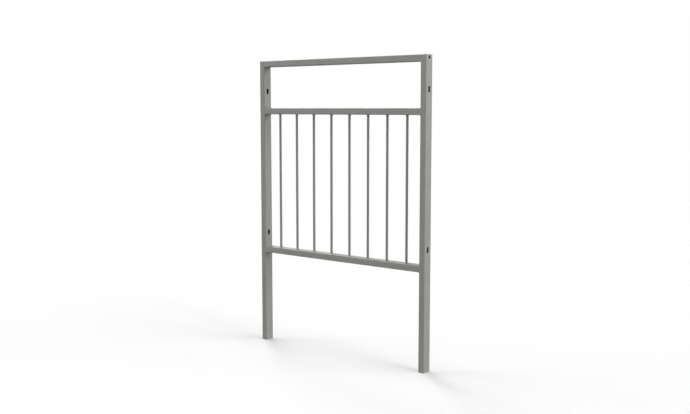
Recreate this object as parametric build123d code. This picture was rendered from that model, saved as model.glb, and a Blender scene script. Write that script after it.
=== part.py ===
from build123d import *
import os

# Crowd control barrier: a welded steel guard panel with two legs that are set in the ground.
# The frame is one hollow section throughout, with its narrow side to the front. The top corners
# are mitred, the mid and lower rails butt on the posts' inner faces, and round infill bars stand
# in holes in those two rails. Nothing on it moves. Each weld bead is a piece of its own.
#
# Frame: origin on the ground plane of the leg ends, midway between the posts and midway from
# front to back. +X runs along the panel, +Y from front to back, +Z up. Millimetres.

# ---- the whole panel -------------------------------------------------------------------------
overall_height = 1410.0  # leg ends to the top of the top rail
overall_width = 1000.0  # over the outer faces of the two posts
leg_length = 453.0  # leg ends to the underside of the lower rail
window_height = 202.0  # clear opening between the top rail and the mid rail

# ---- hollow section of posts and rails -------------------------------------------------------
section_depth = 50.0  # front to back
section_face = 30.0  # as seen from the front
section_wall = 2.5
section_radius = 4.0  # outside corners of the section
mitre_round = 1.5  # the ground outer edge of each mitred corner

# ---- infill bars -----------------------------------------------------------------------------
bar_count = 8
bar_diameter = 12.0
end_gap = 79.0  # clear gap between a post and the bar next to it
bar_entry = 5.0  # how far a bar reaches past the rail's wall into the hollow
bar_clearance = 0.3  # round a bar, in the hole that it stands in

# ---- holes in the posts ----------------------------------------------------------------------
slot_width = 14.0  # for the bolts that link one panel to the next
slot_length = 28.0
upper_slot_drop = 150.0  # top of the panel to the centre of the upper slot
lower_slot_rise = 70.0  # top of the lower rail to the centre of the lower slot
vent_diameter = 14.0  # lets air and zinc through when the panel is galvanised
vent_drop = 12.0  # top of the panel to the centre of the outer vent

# ---- welds -----------------------------------------------------------------------------------
frame_weld_leg = 4.0
bar_weld_leg = 3.0
weld_crown = 0.4  # how far a bead's face bulges out from the straight line
groove_reach = 2.5  # how far a bead runs round a post's rounded edge

# ---- worked out from the sizes above ---------------------------------------------------------
post_outer = overall_width / 2
post_inner = post_outer - section_face
lower_rail_top = leg_length + section_face
top_rail_underside = overall_height - section_face
mid_rail_top = top_rail_underside - window_height
mid_rail_underside = mid_rail_top - section_face
bar_radius = bar_diameter / 2
bar_hole_radius = bar_radius + bar_clearance
first_bar = -post_inner + end_gap + bar_radius
bar_pitch = -2 * first_bar / (bar_count - 1)
upper_slot = overall_height - upper_slot_drop
lower_slot = lower_rail_top + lower_slot_rise
flat_half_depth = section_depth / 2 - section_radius  # half the flat part of a post's side
beyond = 1.0  # how far a cutter runs past the metal that it cuts

sides = {"left": -1, "right": 1}
butted_rails = {"lower_rail": leg_length, "mid_rail": mid_rail_underside}


def bar_centres():
    """X of each infill bar, evenly spaced from the first to the last."""
    return [first_bar + number * bar_pitch for number in range(bar_count)]


def section_outline():
    """The section's outside, its face along local x and its depth along local y."""
    return RectangleRounded(section_face, section_depth, section_radius)


def hollow_section():
    """The steel of the section: the outside less the hollow, one wall thick all round."""
    inside = RectangleRounded(
        section_face - 2 * section_wall,
        section_depth - 2 * section_wall,
        section_radius - section_wall,
    )
    return section_outline() - inside


def upright(profile, side):
    """The profile carried up from the leg end at one post's place."""
    middle = side * (post_inner + post_outer) / 2
    return Pos(middle, 0, 0) * extrude(profile, overall_height)


def level(profile, underside, half_length):
    """The profile carried along X with its lower face at the height given."""
    start = Plane(
        origin=(-half_length, 0, underside + section_face / 2), x_dir=(0, 0, 1), z_dir=(1, 0, 0)
    )
    return extrude(start * profile, 2 * half_length)


def prism(points, half_depth):
    """A closed outline of (x, z) points, given depth on both sides of the panel's middle."""
    outline = make_face(Polyline(*points, close=True))
    return extrude(Plane.XZ * outline, half_depth, both=True)


def mitre_wedge(side, above):
    """What a mitre takes off: the stock above its plane for a post, below it for the rail."""
    outer = side * (post_outer + beyond)
    inner = side * (post_inner - beyond)
    high = overall_height + beyond
    low = top_rail_underside - beyond
    third = (inner, high) if above else (outer, low)
    return prism([(outer, high), (inner, low), third], section_depth)


def mitre_edge_cutter(side):
    """What grinding takes off the sharp outer edge where a post and the top rail meet."""
    reach = mitre_round + beyond
    corner = Pos(
        side * (post_outer + beyond - reach / 2), 0, overall_height + beyond - reach / 2
    ) * Box(reach, 2 * section_depth, reach)
    centre = Pos(side * (post_outer - mitre_round), 0, overall_height - mitre_round)
    return corner - centre * Rot(90, 0, 0) * Cylinder(mitre_round, 2 * section_depth)


def side_hole(shape, height, start, end):
    """A cutter of the shape given, looking along X, between two distances from the middle."""
    plane = Plane(origin=(start, 0, height), x_dir=(0, 1, 0), z_dir=(1, 0, 0))
    return extrude(plane * shape, end - start)


def make_post(side):
    """A post: mitred at the top, two slots through both side walls, and its vents."""
    post = upright(hollow_section(), side)
    post -= mitre_wedge(side, above=True)
    post -= mitre_edge_cutter(side)
    outside = side * (post_outer + beyond)
    inside = side * (post_inner - beyond)
    slot = SlotOverall(slot_length, slot_width, rotation=90)
    for height in (lower_slot, upper_slot):
        post -= side_hole(slot, height, outside, inside)
    vent = Circle(vent_diameter / 2)
    post -= side_hole(vent, overall_height - vent_drop, outside, outside - side * 2 * section_wall)
    for underside in butted_rails.values():
        middle = underside + section_face / 2
        post -= side_hole(vent, middle, inside, inside + side * 2 * section_wall)
    return post


def make_top_rail():
    """The top rail, mitred at both ends so that the corners are closed."""
    rail = level(hollow_section(), top_rail_underside, post_outer)
    for side in sides.values():
        rail -= mitre_wedge(side, above=False)
        rail -= mitre_edge_cutter(side)
    return rail


def make_butted_rail(underside, hole_wall):
    """A rail between the posts, with a row of bar holes through the wall at hole_wall."""
    rail = level(hollow_section(), underside, post_inner)
    drill = Cylinder(bar_hole_radius, 2 * (section_wall + beyond))
    for centre in bar_centres():
        rail -= Pos(centre, 0, hole_wall) * drill
    return rail


def make_bar(centre):
    """A solid round bar from inside the lower rail to inside the mid rail."""
    low = lower_rail_top - section_wall - bar_entry
    high = mid_rail_underside + section_wall + bar_entry
    return Pos(centre, 0, (low + high) / 2) * Cylinder(bar_radius, high - low)


def fillet_section(leg):
    """A fillet weld's section: a right angle at the origin and a slightly crowned face."""
    crest = leg / 2 + weld_crown / 2**0.5
    sides_of_angle = Polyline((0, leg), (0, 0), (leg, 0))
    face = ThreePointArc((leg, 0), (crest, crest), (0, leg))
    return make_face(sides_of_angle + face)


def make_corner_weld(side):
    """The fillet in the angle under a mitred corner, as long as the faces there are flat."""
    angle = Plane(
        origin=(side * post_inner, 0, top_rail_underside), x_dir=(-side, 0, 0), z_dir=(0, -side, 0)
    )
    section = angle * fillet_section(frame_weld_leg)
    return extrude(section, flat_half_depth, both=True)


def make_rail_weld(side, underside):
    """The bead round the end of a butted rail: fillets above and below, grooves in front and
    behind where the post's edge is rounded, all of it within the panel's depth."""
    middle = underside + section_face / 2
    joint = Plane(
        origin=(side * post_inner, 0, middle), x_dir=(0, 0, 1), z_dir=(-side, 0, 0)
    )
    wide = RectangleRounded(
        section_face + 2 * frame_weld_leg,
        section_depth + 2 * frame_weld_leg,
        section_radius + frame_weld_leg,
    )
    flank = loft([joint * wide, joint.offset(frame_weld_leg) * section_outline()])
    groove_height = section_face + frame_weld_leg
    groove = Pos(side * (post_inner + groove_reach / 2), 0, middle) * Box(
        groove_reach, section_depth, groove_height
    )
    within = Pos(side * post_inner, 0, middle) * Box(
        4 * frame_weld_leg, section_depth, section_face + 4 * frame_weld_leg
    )
    bead = (flank + groove) & within
    bead -= upright(section_outline(), side)
    bead -= level(section_outline(), underside, post_inner)
    return bead


def make_bar_weld(centre, height, direction):
    """A ring of weld round a bar, standing up or down from the rail face at the height given."""
    profile = Pos(bar_radius, 0) * fillet_section(bar_weld_leg)
    ring = revolve(Plane.XZ * profile, Axis.Z)
    if direction < 0:
        ring = Rot(180, 0, 0) * ring
    return Pos(centre, 0, height) * ring


def make_parts():
    """Every piece of the panel under the name of its node."""
    parts = {"top_rail": make_top_rail()}
    parts["mid_rail"] = make_butted_rail(mid_rail_underside, mid_rail_underside)
    parts["lower_rail"] = make_butted_rail(leg_length, lower_rail_top)
    for name, side in sides.items():
        parts[f"{name}_post"] = make_post(side)
        parts[f"{name}_corner_weld"] = make_corner_weld(side)
        for rail, underside in butted_rails.items():
            parts[f"{rail}_{name}_weld"] = make_rail_weld(side, underside)
    for number, centre in enumerate(bar_centres(), start=1):
        parts[f"infill_bar_{number}"] = make_bar(centre)
        parts[f"upper_bar_weld_{number}"] = make_bar_weld(centre, mid_rail_underside, -1)
        parts[f"lower_bar_weld_{number}"] = make_bar_weld(centre, lower_rail_top, 1)
    return parts


os.makedirs("parts", exist_ok=True)
for node, solid in make_parts().items():
    export_step(solid, f"parts/{node}.step")
    size = solid.bounding_box().size
    print(f"{node}: {size.X:.1f} x {size.Y:.1f} x {size.Z:.1f} mm, {solid.volume:.0f} mm3")
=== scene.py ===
# %% [markdown]
# # A welded guard panel in satin grey
# This lesson dresses a steel crowd control barrier: two posts, three rails and eight round bars,
# welded into one rigid panel. The steelwork itself comes ready made from the CAD model, at its
# real size and in metres. What is left to make is what a coater and a welder add, the finish and
# the beads of weld, and then a studio to show them in. The first cell loads the model and notes
# its box.

# %% Load the frame
import math

import bmesh
import bpy
import numpy as np
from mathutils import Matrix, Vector


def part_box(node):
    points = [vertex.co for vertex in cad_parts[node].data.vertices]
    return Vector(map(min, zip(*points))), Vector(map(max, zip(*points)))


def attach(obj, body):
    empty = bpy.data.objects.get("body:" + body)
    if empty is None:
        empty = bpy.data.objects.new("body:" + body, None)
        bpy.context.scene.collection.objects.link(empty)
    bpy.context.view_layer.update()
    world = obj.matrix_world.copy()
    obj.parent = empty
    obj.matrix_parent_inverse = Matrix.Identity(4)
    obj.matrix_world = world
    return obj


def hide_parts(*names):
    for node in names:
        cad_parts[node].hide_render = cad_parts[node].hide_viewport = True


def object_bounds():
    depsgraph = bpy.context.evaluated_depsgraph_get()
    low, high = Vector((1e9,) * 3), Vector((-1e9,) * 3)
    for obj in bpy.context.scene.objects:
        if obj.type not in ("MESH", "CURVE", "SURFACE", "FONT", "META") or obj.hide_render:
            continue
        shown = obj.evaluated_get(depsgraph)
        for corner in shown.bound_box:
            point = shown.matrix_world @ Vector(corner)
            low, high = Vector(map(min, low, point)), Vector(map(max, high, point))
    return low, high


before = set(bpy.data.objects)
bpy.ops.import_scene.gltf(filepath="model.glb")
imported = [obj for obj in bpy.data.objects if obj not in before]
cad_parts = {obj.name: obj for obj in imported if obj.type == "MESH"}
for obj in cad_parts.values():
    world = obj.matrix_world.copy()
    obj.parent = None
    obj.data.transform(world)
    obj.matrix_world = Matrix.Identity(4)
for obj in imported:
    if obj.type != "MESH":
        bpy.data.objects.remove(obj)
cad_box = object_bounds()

print("CAD box:", [round(value, 4) for corner in cad_box for value in corner])

# %% [markdown]
# ## Sizes that the later cells share
# Every place is read from the CAD pieces, so the looks follow the steel if its sizes change.
# A box says how far a piece reaches, and that gives the section's face and depth, the height of
# the top rail and the radius of a bar. Only what a box can't say is written down here: the radius
# of the section's rounded edges and its wall.

# %% Read the sizes
mm = 0.001
section_radius = 4 * mm
section_wall = 2.5 * mm
names = sorted(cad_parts)
post_low, post_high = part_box("right_post")
bar_low, bar_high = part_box("infill_bar_1")
section_face = post_high.x - post_low.x
section_depth = post_high.y - post_low.y
post_inner = post_low.x
post_outer = post_high.x
top = post_high.z
top_rail_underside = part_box("top_rail")[0].z
bar_radius = (bar_high.x - bar_low.x) / 2
print(f"section: {section_face / mm:.1f} on the face, {section_depth / mm:.1f} mm deep")
print(f"bars: {bar_radius / mm:.1f} mm in radius")

# %% [markdown]
# ## One helper for colour and one for nodes
# A paint chart gives its colours as sRGB hex values, and shaders want linear light, so one
# function turns the first into the second. A material is a chain of nodes. One small function
# adds a node, sets its options, and fills each input with a value or with the socket that feeds
# it. An input goes by its name, or by its place in the node's list where several share a name.
# So a Mix node blends numbers from places 2 and 3, and colours from places 6 and 7.

# %% Colour and node helpers
def linear(hex_colour):
    """The linear RGBA of an sRGB hex colour: each channel over 255, then the sRGB curve undone."""
    channels = np.array([int(hex_colour[start : start + 2], 16) for start in (1, 3, 5)]) / 255
    undone = np.where(channels <= 0.04045, channels / 12.92, ((channels + 0.055) / 1.055) ** 2.4)
    return (*undone.tolist(), 1.0)


def add(tree, kind, inputs, **options):
    """Adds a node of the kind named. An input is a value, or the socket that is linked to it."""
    made = tree.nodes.new(kind)
    for name, value in options.items():
        setattr(made, name, value)
    for name, value in inputs.items():
        if isinstance(value, bpy.types.NodeSocket):
            tree.links.new(value, made.inputs[name])
        else:
            made.inputs[name].default_value = value
    return made


def new_material(name):
    """An empty node material, its output node, and the place of each point in metres."""
    material = bpy.data.materials.new(name)
    material.use_nodes = True
    tree = material.node_tree
    tree.nodes.clear()
    output = add(tree, "ShaderNodeOutputMaterial", {})
    place = add(tree, "ShaderNodeTexCoord", {}).outputs["Object"]
    return material, tree, output, place


print("half grey in linear light:", round(linear("#808080")[0], 3))

# %% [markdown]
# ## The coat: satin polyester powder over hot-dip galvanised steel
# On the real panel a grey polyester powder is sprayed dry on the galvanised steel and baked until
# it flows. It comes out satin, so it has a soft broad sheen and no mirror. Baked powder never
# lies quite flat. It keeps a fine skin like orange peel, with grains one or two millimetres
# across, and it is thinner and a touch darker between the grains. Its thickness also drifts
# slowly over a hand's breadth, which shifts the tone by a few percent. Both are noise on the
# object's own coordinates, so they keep their size in millimetres on every piece. The grains are
# drawn at 2.5 mm and a tenth of a millimetre deep, coarser than life, so that they show.
# Polyester has an index of refraction near 1.5, and satin powder a roughness near 0.4.

# %% Powder coat
coat_grey = "#92948e"
# The darker tone of thin spots between the grains, also laid all over the bars as painted shade.
thin_coat_and_shade = "#888a85"
coat_drift = 120 * mm
rough_patch = 9 * mm
skin_depth = 0.12 * mm
noise_span = {"From Min": 0.35, "From Max": 0.65}  # where nearly all of a noise lies


def powder_coat(name, grain=2.5 * mm, painted_shade=0.0, roughness=0.42, features=None):
    """Satin powder coat. Slow noise shifts the tone, fine noise is the skin as bump and speckle,
    and a third noise varies the roughness. Painted_shade moves the tone all over towards the darker
    one as painted shade, and features adds what one kind of piece shows to the tone, roughness and
    height."""
    material, tree, output, place = new_material(name)
    slow, skin, patch = (
        add(tree, "ShaderNodeTexNoise", {"Vector": place, "Scale": 1 / size, "Detail": detail})
        for size, detail in ((coat_drift, 3.0), (grain, 1.5), (rough_patch, 2.0))
    )
    drifting = add(
        tree,
        "ShaderNodeMapRange",
        {"Value": slow.outputs[0], **noise_span, "To Min": painted_shade - 0.2, "To Max": painted_shade + 0.3},
    ).outputs[0]
    speckled = add(
        tree,
        "ShaderNodeMapRange",
        {"Value": skin.outputs[0], **noise_span, "To Min": 0.5, "To Max": 0.0},
    ).outputs[0]
    thinness = add(tree, "ShaderNodeMath", {0: drifting, 1: speckled}, operation="ADD").outputs[0]
    colour = add(
        tree,
        "ShaderNodeMix",
        {0: thinness, 6: linear(coat_grey), 7: linear(thin_coat_and_shade)},
        data_type="RGBA",
    ).outputs[2]
    smoother, rougher = roughness - 0.04, roughness + 0.05
    patch_span = {"From Min": 0.3, "From Max": 0.7, "To Min": smoother, "To Max": rougher}
    rough = add(
        tree, "ShaderNodeMapRange", {"Value": patch.outputs[0], **patch_span}
    ).outputs[0]
    height = skin.outputs[0]
    if features:
        colour, rough, height = features(tree, place, colour, rough, height)
    bump = add(
        tree, "ShaderNodeBump", {"Height": height, "Strength": 0.8, "Distance": skin_depth}
    ).outputs[0]
    coat = add(
        tree,
        "ShaderNodeBsdfPrincipled",
        {"Base Color": colour, "Roughness": rough, "Normal": bump, "IOR": 1.5},
    )
    tree.links.new(coat.outputs[0], output.inputs[0])
    return material


print("coat:", coat_grey, "and", thin_coat_and_shade, "where it is thin")

# %% [markdown]
# ## The ground band along a mitre
# The top corners are mitred, welded and ground flush before coating. Grinding leaves a band a few
# millimetres wide along the mitre that is a touch smoother than the rolled steel beside it. A
# loop cut with a material of its own would give it a hard edge, so it is worked out in the
# shader instead. The mitre lies where a point is as far in from the outer face as it is down from
# the top, so the distance from it is a difference of two coordinates.

# %% Mitre band
band_reach = 5 * mm
band_smoother = 0.05
band_proud = 1.5  # in depths of the skin


def mitre_band(tree, place, colour, rough, height):
    """Adds the ground band: one where the distance from the mitre is nought, falling to nought."""
    unsigned = add(tree, "ShaderNodeVectorMath", {0: place}, operation="ABSOLUTE").outputs[0]
    out_less_up = add(
        tree, "ShaderNodeVectorMath", {0: unsigned, 1: (1, 0, -1)}, operation="DOT_PRODUCT"
    ).outputs["Value"]
    from_mitre = add(
        tree, "ShaderNodeMath", {0: out_less_up, 1: top - post_outer}, operation="ADD"
    ).outputs[0]
    distance = add(tree, "ShaderNodeMath", {0: from_mitre}, operation="ABSOLUTE").outputs[0]
    band = add(
        tree,
        "ShaderNodeMapRange",
        {"Value": distance, "From Min": 0.0, "From Max": band_reach, "To Min": 1.0, "To Max": 0.0},
        interpolation_type="SMOOTHSTEP",
    ).outputs[0]
    smoothed = {0: band, 1: -band_smoother, 2: rough}
    raised = {0: band, 1: band_proud, 2: height}
    rough = add(tree, "ShaderNodeMath", smoothed, operation="MULTIPLY_ADD").outputs[0]
    height = add(tree, "ShaderNodeMath", raised, operation="MULTIPLY_ADD").outputs[0]
    return colour, rough, height


print(f"ground band: {band_reach / mm:.0f} mm on each side of the mitre")

# %% [markdown]
# ## Bare zinc inside the posts
# The posts are open at the foot, and slots and vents go through their walls, but powder reaches
# only a little way into a tube. The inside stays dull zinc. A post is one mesh, so the shader
# tells its inside from its outside: a point is inside when it is nearer the middle of the section
# than half way through the wall.

# %% Tube inside
zinc_grey = "#6f7376"
zinc_roughness = 0.6


def post_features(tree, place, colour, rough, height):
    """The mitre band, and dull zinc wherever a point is inside the tube."""
    colour, rough, height = mitre_band(tree, place, colour, rough, height)
    unsigned = add(tree, "ShaderNodeVectorMath", {0: place}, operation="ABSOLUTE").outputs[0]
    split = add(tree, "ShaderNodeSeparateXYZ", {0: unsigned}).outputs
    post_middle = (post_inner + post_outer) / 2
    face_reach = {0: split["X"], 1: post_middle, 2: (section_face - section_wall) / 2}
    depth_reach = {0: split["Y"], 1: 0.0, 2: (section_depth - section_wall) / 2}
    in_face = add(tree, "ShaderNodeMath", face_reach, operation="COMPARE").outputs[0]
    in_depth = add(tree, "ShaderNodeMath", depth_reach, operation="COMPARE").outputs[0]
    inside = add(tree, "ShaderNodeMath", {0: in_face, 1: in_depth}, operation="MULTIPLY").outputs[0]
    colour = add(
        tree, "ShaderNodeMix", {0: inside, 6: colour, 7: linear(zinc_grey)}, data_type="RGBA"
    ).outputs[2]
    rough = add(tree, "ShaderNodeMix", {0: inside, 2: rough, 3: zinc_roughness}).outputs[0]
    return colour, rough, height


print("zinc inside the tube:", zinc_grey)

# %% [markdown]
# ## Coating the steel
# The CAD pieces have the right shape already, so each keeps its mesh and only gets a finish. One
# coat would do for all of them, but the bars get a copy of it that is darker all over, as painted
# shade on the round bars. The powder flows a little smoother over the ripples of a weld, so the
# welds get a coat of their own too.

# %% Coat the steel
post_coat = powder_coat("satin_powder_coat_on_posts", features=post_features)
top_rail_coat = powder_coat("satin_powder_coat_on_top_rail", features=mitre_band)
rail_coat = powder_coat("satin_powder_coat_on_rails")
# The bars' coat is darker all over: painted shade on the round bars.
bar_coat_with_painted_shade = powder_coat("satin_powder_coat_on_bars_with_painted_shade", painted_shade=0.7)
weld_coat = powder_coat("satin_powder_coat_on_welds", grain=2 * mm, roughness=0.38)


def finish_with(node, material):
    """Gives every material slot of a CAD piece one finish."""
    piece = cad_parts[node]
    for holder in piece.material_slots:
        holder.material = material


frame_coats = {
    "left_post": post_coat,
    "right_post": post_coat,
    "top_rail": top_rail_coat,
    "mid_rail": rail_coat,
    "lower_rail": rail_coat,
}
for node, coat in frame_coats.items():
    finish_with(node, coat)
bars = [name for name in names if name.startswith("infill_bar_")]
for bar in bars:
    finish_with(bar, bar_coat_with_painted_shade)
print("coated", len(frame_coats) + len(bars), "pieces of steel")

# %% [markdown]
# ## A skin over a grid of points
# Every bead of weld below is a surface with two parameters: how far along the joint a point is,
# and how far round the bead. Numpy works out all its points at once. This cell turns such a grid
# into a mesh. Each point is joined to its neighbours both ways, and the last row to the first
# where the surface closes on itself. Where a bead ends in a point, its last ring is many copies
# of that point, so doubles are merged, and then the faces are turned outwards.

# %% Skin helper
merge_distance = 0.001 * mm


def skin_piece(name, points, closed_path, material, nodes):
    """A piece from points[along, round]: quads between neighbours, closed round the bead, and
    along the path too if it is a loop. It stands for the CAD nodes named."""
    along, around = points.shape[:2]
    number = np.arange(along * around).reshape(along, around)
    ahead = np.roll(number, -1, axis=0)
    quads = np.stack(
        [number, np.roll(number, -1, axis=1), np.roll(ahead, -1, axis=1), ahead], axis=-1
    )
    if not closed_path:
        quads = quads[:-1]
    mesh = bpy.data.meshes.new(name)
    mesh.from_pydata(points.reshape(-1, 3).tolist(), [], quads.reshape(-1, 4).tolist())
    work = bmesh.new()
    work.from_mesh(mesh)
    bmesh.ops.remove_doubles(work, verts=work.verts, dist=merge_distance)
    bmesh.ops.recalc_face_normals(work, faces=work.faces)
    work.to_mesh(mesh)
    work.free()
    mesh.polygons.foreach_set("use_smooth", np.ones(len(mesh.polygons), bool))
    mesh.materials.append(material)
    piece = bpy.data.objects.new(name, mesh)
    bpy.context.scene.collection.objects.link(piece)
    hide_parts(*nodes)
    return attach(piece, "root")


weld_nodes = [name for name in names if name.endswith("_weld") or "_weld_" in name]
print("welds that get a skin:", len(weld_nodes))

# %% [markdown]
# ## The shape of a bead
# A weld bead is a row of small frozen pools. Each pool overlaps the one before, so the bead shows
# fine ripples a couple of millimetres apart that bow back at the middle, where the metal froze
# last. A bump could draw them, but it would leave the bead's outline smooth, so they are real
# shape. Across the joint the bead runs from one toe to the other with a slight crown. So the
# height over the straight line between the toes is a crown, highest half way across, plus a
# ripple whose phase moves along the joint and lags at the middle. The coat softens the ripples,
# so they are a seventh of a millimetre deep. A slow drift of that height keeps a hand-made look.

# %% Bead helpers
ripple_pitch = 2 * mm
ripple_depth = 0.14 * mm
ripple_lag = 0.55  # of a ripple, at the middle of the bead
drift_depth = 0.06 * mm
toe_sink = 0.15 * mm
fewest_ripples = 6
steps_per_ripple = 6
steps_across = 11
dice = np.random.default_rng(11)


def bead_height(turns, across, crown, wander):
    """Height over the toe line: (crown + drift + ripple) times one minus across squared. turns
    counts ripples along the joint, across runs from -1 to 1, and the ripple lags mid way."""
    lag = ripple_lag * (1 - across**2)
    ripple = ripple_depth * np.cos(2 * np.pi * (turns - lag))
    drift = drift_depth * np.sin(2 * np.pi * turns / wander + dice.uniform(0, 2 * np.pi))
    return (crown + drift + ripple) * (1 - across**2)


def bead_rings(first_toe, second_toe, root, outward, height, across):
    """The rings of a bead: from the first toe to the second in a straight line plus the height
    along outward, and back by the root, which is hidden in the metal."""
    share = (1 + across[..., None]) / 2
    face = first_toe + (second_toe - first_toe) * share + outward * height[..., None]
    return np.concatenate([face, root], axis=1)


def ripples_for(length):
    """A whole number of ripples on a joint of that length, and the steps that draw them."""
    count = max(fewest_ripples, round(length / ripple_pitch))
    return count, count * steps_per_ripple


print("ripples once round a bar:", ripples_for(2 * np.pi * bar_radius)[0])

# %% [markdown]
# ## Ring welds round the bars
# Each bar stands in a hole in the mid rail and in the lower rail, and a small fillet runs round
# it at each end. Spinning one profile would make a smooth ring, but the ripples change it all the
# way round, so the ring is a grid. Going round the bar is one parameter, and going from the toe
# on the rail to the toe on the bar is the other. The leg of the fillet is read from the CAD ring
# that it replaces.

# %% Ring welds
ring_crown = 0.2 * mm


def ring_weld(node):
    """A fillet swept round an upright bar: both toes are circles about the bar's axis."""
    low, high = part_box(node)
    rail_below = "lower" in node
    seat = low.z if rail_below else high.z
    rising = 1 if rail_below else -1
    leg = high.z - low.z
    centre = np.array([(low.x + high.x) / 2, (low.y + high.y) / 2, 0])
    count, steps = ripples_for(2 * np.pi * (bar_radius + leg / 2))
    start = dice.uniform(0, 2 * np.pi)
    angle = (start + 2 * np.pi * np.arange(steps) / steps)[:, None]
    across = np.linspace(-1, 1, steps_across)[None, :]

    def circle(radius, rise):
        """Points round the bar's axis at one radius and one height over the rail's face."""
        x, y = radius * np.cos(angle), radius * np.sin(angle)
        return centre + np.stack([x, y, np.full_like(x, seat + rising * rise)], axis=-1)

    leaning = np.stack([np.cos(angle), np.sin(angle), np.full_like(angle, rising)], axis=-1)
    turns = count * np.arange(steps)[:, None] / steps
    rings = bead_rings(
        circle(bar_radius + leg, -toe_sink),
        circle(bar_radius - toe_sink, leg),
        circle(bar_radius - toe_sink, -toe_sink),
        leaning / np.sqrt(2),
        bead_height(turns, across, ring_crown, count / 2),
        across,
    )
    return skin_piece(f"{node}_bead", rings, True, weld_coat, [node])


ring_nodes = [name for name in names if "_bar_weld_" in name]
for node in ring_nodes:
    ring_weld(node)
print("ring welds:", len(ring_nodes))

# %% [markdown]
# ## The two surfaces that a rail end weld joins
# A butted rail meets the post's inner face. Above and below, the post stands wider than the rail
# is high, so there is an angle for a true fillet. In front and behind, rail and post are flush
# and the post's edge is rounded, so the weld fills a small groove and stays just under the
# surface. The weld's first toe follows the rail's outline. Its second toe is the same outline
# moved out by the leg and laid on the post's skin, round its rounded edge. This cell works out
# that outline and that skin.

# %% Rail outline and post skin
flat_face = section_face - 2 * section_radius
flat_depth = section_depth - 2 * section_radius
quarter_bend = np.pi / 2 * section_radius
section_girth = 2 * (flat_face + flat_depth) + 4 * quarter_bend


def section_outline(steps):
    """Points and outward normals round the section, a rounded rectangle, evenly spaced: each
    point lies that share of the girth along four straight stretches and four quarter bends."""
    straight = np.array([flat_depth, flat_face])
    lengths = np.array([flat_depth, quarter_bend, flat_face, quarter_bend] * 2)
    ends = np.concatenate([[0], np.cumsum(lengths)])
    along = ends[-1] * np.arange(steps) / steps
    stretch = np.searchsorted(ends, along, side="right") - 1
    within = (along - ends[stretch]) / lengths[stretch]
    quarter, on_bend = stretch // 2, stretch % 2
    turn = np.pi / 2 * (quarter + within * on_bend)
    normal = np.stack([np.sin(turn), np.cos(turn)], axis=-1)
    corner_y = np.array([1, 1, -1, -1])[quarter] * flat_depth / 2
    corner_z = np.array([1, -1, -1, 1])[quarter] * flat_face / 2
    run = np.array([[1, 0], [0, -1], [-1, 0], [0, 1]])[quarter]
    back = (1 - within) * (1 - on_bend) * straight[quarter % 2]
    corner = np.stack([corner_y, corner_z], axis=-1)
    return corner - run * back[:, None] + normal * section_radius, normal


def on_post_skin(depthwise, sink):
    """Where a point this far from the panel's middle lies when it is laid on the post: flat on
    the inner face, then round the edge's quarter circle, then along the front or back face.
    Gives how far it lies past the inner face, and its place front to back."""
    past_flat = np.maximum(np.abs(depthwise) - flat_depth / 2, 0)
    turn = np.minimum(past_flat / section_radius, np.pi / 2)
    past_bend = np.maximum(past_flat - quarter_bend, 0)
    radius = section_radius - sink
    into = section_radius - radius * np.cos(turn) + past_bend
    along = np.minimum(np.abs(depthwise), flat_depth / 2) + radius * np.sin(turn)
    return into, np.sign(depthwise) * along


print(f"once round the section: {section_girth / mm:.1f} mm")

# %% [markdown]
# ## Beads round the ends of the mid and lower rails
# Four straight fillets would have to be mitred into each other at the corners. One closed path
# round the rail does it all, with a bead whose shape changes on the way. How upright the
# outline's normal is says which kind of weld is due: a crowned fillet with its full leg where the
# normal points up or down, and a slightly hollow groove weld where it points to the front or back.

# %% Rail end welds
fillet_crown = 0.35 * mm
groove_lap = 0.5 * mm  # how far a groove weld laps onto the rail
groove_hollow = 0.08 * mm


def rail_end_weld(node):
    """A bead round the end of a rail, between the rail's outline and the post's skin."""
    low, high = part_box(node)
    rail_low, rail_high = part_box(node.rsplit("_", 2)[0])
    side = 1 if low.x > 0 else -1
    middle = (rail_low.z + rail_high.z) / 2
    leg = (high.z - low.z - (rail_high.z - rail_low.z)) / 2
    count, steps = ripples_for(section_girth)
    outline, normal = section_outline(steps)
    across = np.linspace(-1, 1, steps_across)[None, :]

    def at_joint(past_face, depthwise, upward):
        """A point from how far it lies past the post's inner face, and its place across."""
        x = side * (post_inner + past_face)
        return np.stack([x, depthwise, middle + upward], axis=-1)[:, None, :]

    sunk = outline - normal * toe_sink
    moved = outline + normal * leg
    into, laid = on_post_skin(moved[:, 0], toe_sink)
    root_into, root_laid = on_post_skin(outline[:, 0], toe_sink)
    upright = normal[:, 1:] ** 2
    leaning = np.stack([-side * np.ones(steps), normal[:, 0], normal[:, 1]], axis=-1)
    flush = np.stack([np.zeros(steps), normal[:, 0], normal[:, 1]], axis=-1)
    outward = leaning / np.sqrt(2) * upright + flush * (1 - upright)
    turns = count * np.arange(steps)[:, None] / steps
    crown = fillet_crown * upright - groove_hollow * (1 - upright)
    rail_toe = leg * upright[:, 0] + groove_lap * (1 - upright[:, 0])
    rings = bead_rings(
        at_joint(-rail_toe, sunk[:, 0], sunk[:, 1]),
        at_joint(into, laid, moved[:, 1]),
        at_joint(np.maximum(root_into, toe_sink), root_laid, sunk[:, 1]),
        outward[:, None, :],
        bead_height(turns, across, crown, count / 3),
        across,
    )
    return skin_piece(f"{node}_bead", rings, True, weld_coat, [node])


rail_end_nodes = [name for name in names if "_rail_" in name and name.endswith("_weld")]
for node in rail_end_nodes:
    rail_end_weld(node)
print("rail end welds:", len(rail_end_nodes))

# %% [markdown]
# ## Fillets under the mitred corners
# The outer faces of a mitred corner are ground flush, but in the angle underneath the fillet is
# left as it was laid. It runs front to back, between the rounded edges, and tapers to a start and
# a stop. A plain extrusion would end in two flat cuts. So the size of each ring follows a rounded
# ramp: the square root of one minus the place along the joint to the eighth power, with that
# place from -1 to 1, which is full along the joint and nought at both ends.

# %% Corner welds
ramp_power = 8


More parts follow.
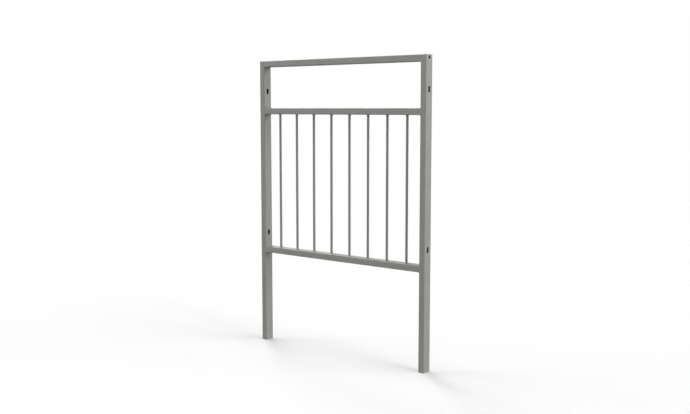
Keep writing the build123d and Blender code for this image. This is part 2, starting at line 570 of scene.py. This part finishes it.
def corner_weld(node):
    """A straight fillet in the angle between a post's inner face and the top rail's underside."""
    low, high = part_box(node)
    side = 1 if low.x > 0 else -1
    leg = high.z - low.z
    half = (high.y - low.y) / 2
    count, steps = ripples_for(2 * half)
    along = np.sin(np.pi / 2 * np.linspace(-1, 1, steps + 1))[:, None]
    size = np.sqrt(1 - along**ramp_power)
    across = np.linspace(-1, 1, steps_across)[None, :]
    root = np.array([side * (post_inner + toe_sink), 0, top_rail_underside + toe_sink])
    axis = np.array([0.0, half, 0.0])

    def line(towards):
        """Points along the joint, moved from the root by the ring's size times towards."""
        return root + along[..., None] * axis + size[..., None] * np.array(towards)

    rings = bead_rings(
        line([-side * (leg + toe_sink), 0, 0]),
        line([0, 0, -leg - toe_sink]),
        line([0, 0, 0]),
        np.array([-side, 0, -1]) / np.sqrt(2),
        size * bead_height(count * (along + 1) / 2, across, fillet_crown, count / 2),
        across,
    )
    return skin_piece(f"{node}_bead", rings, False, weld_coat, [node])


corner_nodes = ["left_corner_weld", "right_corner_weld"]
for node in corner_nodes:
    corner_weld(node)

# %% [markdown]
# ## The studio floor
# The panel stands on plain pale paper that runs out of sight. The paper takes the soft shadows,
# so it is a real surface, but it is seen only by the camera and doesn't light the steel: the
# surround, which comes next, does that in its place. A stock plane would do as well, but a round
# sheet keeps small faces near the panel and large ones far out. Far out it fades to the same
# white as the surround, so no line shows between the two.

# %% Floor
paper_white = "#e1e1e1"
floor_reach = 60.0
floor_spokes = 96
floor_rings = 24
fade_start, fade_end = 4.0, 12.0


def studio_floor():
    """A round sheet about the origin: rings of growing radius by spokes, all at height nought."""
    spokes = np.linspace(0, 2 * np.pi, floor_spokes, endpoint=False)[None, :]
    radius = floor_reach * np.linspace(0, 1, floor_rings)[:, None] ** 2
    x, y = radius * np.cos(spokes), radius * np.sin(spokes)
    points = np.stack([x, y, np.zeros_like(x)], axis=-1)
    number = np.arange(x.size).reshape(x.shape)
    inner, outer = number[:-1], number[1:]
    quads = np.stack(
        [inner, outer, np.roll(outer, -1, axis=1), np.roll(inner, -1, axis=1)], axis=-1
    )
    mesh = bpy.data.meshes.new("studio_floor")
    mesh.from_pydata(points.reshape(-1, 3).tolist(), [], quads.reshape(-1, 4).tolist())
    made = bpy.data.objects.new("studio_floor", mesh)
    bpy.context.scene.collection.objects.link(made)
    return made


def floor_paper(name="matt_white_paper"):
    """Matt white paper that turns, between two distances from the middle, into plain white."""
    material, tree, output, place = new_material(name)
    distance = add(tree, "ShaderNodeVectorMath", {0: place}, operation="LENGTH").outputs["Value"]
    fade = add(
        tree,
        "ShaderNodeMapRange",
        {"Value": distance, "From Min": fade_start, "From Max": fade_end},
        interpolation_type="SMOOTHSTEP",
    ).outputs[0]
    paper = add(tree, "ShaderNodeBsdfDiffuse", {"Color": linear(paper_white)}).outputs[0]
    white = add(tree, "ShaderNodeEmission", {"Color": (1, 1, 1, 1), "Strength": 1.0}).outputs[0]
    mixed = add(tree, "ShaderNodeMixShader", {0: fade, 1: paper, 2: white})
    tree.links.new(mixed.outputs[0], output.inputs[0])
    return material


floor = studio_floor()
floor.data.materials.append(floor_paper())
floor.visible_diffuse = False
floor.visible_glossy = False
floor.visible_shadow = False
print(f"paper: {floor_reach:.0f} m in radius, plain white past {fade_end:.0f} m")

# %% [markdown]
# ## The surround
# A studio could be built as walls and a ceiling, but then other views would run into them. A
# world shader gives the same light from all sides and has no walls. Below the horizon it gives
# what pale paper throws back up. Just above the horizon it is a bright band, as a studio's white
# walls are, and a satin coat mirrors that band in a face seen from a low angle, such as the top
# of the lower rail. Higher up it gives nothing, because the lamps do the rest. Heights in it are
# sines of the angle above the horizon. Where the camera looks straight at it, it is plain white.

# %% Surround
light_from_below = 0.36
light_at_horizon = 1.6
horizon_blend = 0.05
band_fades, band_ends = 0.2, 0.3

world = bpy.data.worlds.new("white_surround")
bpy.context.scene.world = world
world.use_nodes = True
sky = world.node_tree
sky.nodes.clear()
direction = add(sky, "ShaderNodeTexCoord", {}).outputs["Generated"]
upward = add(sky, "ShaderNodeSeparateXYZ", {0: direction}).outputs["Z"]
about_horizon = {"From Min": -horizon_blend, "From Max": horizon_blend}
from_below_to_band = {"To Min": light_from_below, "To Max": light_at_horizon}
over_band = {"From Min": band_fades, "From Max": band_ends, "To Min": 1.0, "To Max": 0.0}
rising = add(
    sky, "ShaderNodeMapRange", {"Value": upward, **about_horizon, **from_below_to_band}
).outputs[0]
falling = add(sky, "ShaderNodeMapRange", {"Value": upward, **over_band}).outputs[0]
level = add(sky, "ShaderNodeMath", {0: rising, 1: falling}, operation="MULTIPLY").outputs[0]
lighting = add(sky, "ShaderNodeBackground", {"Color": (1, 1, 1, 1), "Strength": level}).outputs[0]
seen = add(sky, "ShaderNodeBackground", {"Color": (1, 1, 1, 1), "Strength": 1.0}).outputs[0]
straight = add(sky, "ShaderNodeLightPath", {}).outputs["Is Camera Ray"]
mixed = add(sky, "ShaderNodeMixShader", {0: straight, 1: lighting, 2: seen})
add(sky, "ShaderNodeOutputWorld", {"Surface": mixed.outputs[0]})
bpy.context.scene.view_settings.view_transform = "Standard"
print("surround:", light_from_below, "from below and", light_at_horizon, "at the horizon")

# %% [markdown]
# ## The lamps
# An area lamp near the panel would light one post more than the other. So every lamp is a sun
# with a wide disc, which acts as a big soft box so far away that its light doesn't fade. One
# shines straight down. Two come from beyond the right-hand post, two from beyond the left-hand
# post, and one from the left in front. So a post's sides, which face along the panel, get more
# light than its front does, and each foot has a faint soft shadow for every low lamp. A sun's
# strength is light on a square metre that faces it, and pi of it makes white paper exactly white.

# %% Lamps
def soft_sun(name, azimuth, elevation, disc, share):
    """A sun in the direction given in degrees: azimuth from +X towards +Y, and elevation above
    the floor. Disc is the width of its face, and share is its part of what makes paper white."""
    light = bpy.data.lights.new(name, "SUN")
    light.angle = math.radians(disc)
    light.energy = math.pi * share
    lamp = bpy.data.objects.new(name, light)
    bpy.context.scene.collection.objects.link(lamp)
    turn, rise = math.radians(azimuth), math.radians(elevation)
    towards = Vector(
        (math.cos(turn) * math.cos(rise), math.sin(turn) * math.cos(rise), math.sin(rise))
    )
    lamp.rotation_mode = "QUATERNION"
    lamp.rotation_quaternion = towards.to_track_quat("Z", "Y")
    return lamp


lamps = [
    soft_sun("overhead_lamp", azimuth=0, elevation=90, disc=60, share=0.33),
    soft_sun("right_lamp", azimuth=0, elevation=40, disc=25, share=0.41),
    soft_sun("right_back_lamp", azimuth=30, elevation=20, disc=25, share=0.35),
    soft_sun("left_back_lamp", azimuth=150, elevation=20, disc=25, share=0.65),
    soft_sun("left_lamp", azimuth=180, elevation=40, disc=25, share=0.3),
    soft_sun("left_front_lamp", azimuth=210, elevation=20, disc=25, share=0.3),
]
print("lamps:", [lamp.name for lamp in lamps])

# %% [markdown]
# ## The camera
# A wide lens close by would make the near post much larger than the far one. This is a lens just
# short of 50 mm, about four and a half metres away, well round to the panel's right, so that the
# sides of both posts show. It aims close to the middle of the CAD box from only a little above
# it, so the posts stay nearly upright in the view.

# %% Camera
camera_azimuth = math.radians(39.22)
camera_elevation = math.radians(6.04)
camera_distance = 4.414
lens_mm = 48.78
aim_offset = Vector((0.028, 0.0, 0.009))

middle_of_panel = (cad_box[0] + cad_box[1]) / 2
back = Vector(
    (
        math.sin(camera_azimuth) * math.cos(camera_elevation),
        -math.cos(camera_azimuth) * math.cos(camera_elevation),
        math.sin(camera_elevation),
    )
)
camera_data = bpy.data.cameras.new("camera")
camera_data.lens = lens_mm
camera = bpy.data.objects.new("camera", camera_data)
bpy.context.scene.collection.objects.link(camera)
camera.location = middle_of_panel + aim_offset + back * camera_distance
camera.rotation_mode = "QUATERNION"
camera.rotation_quaternion = (-back).to_track_quat("-Z", "Y")
bpy.context.scene.camera = camera
print("camera at", [round(value, 3) for value in camera.location])
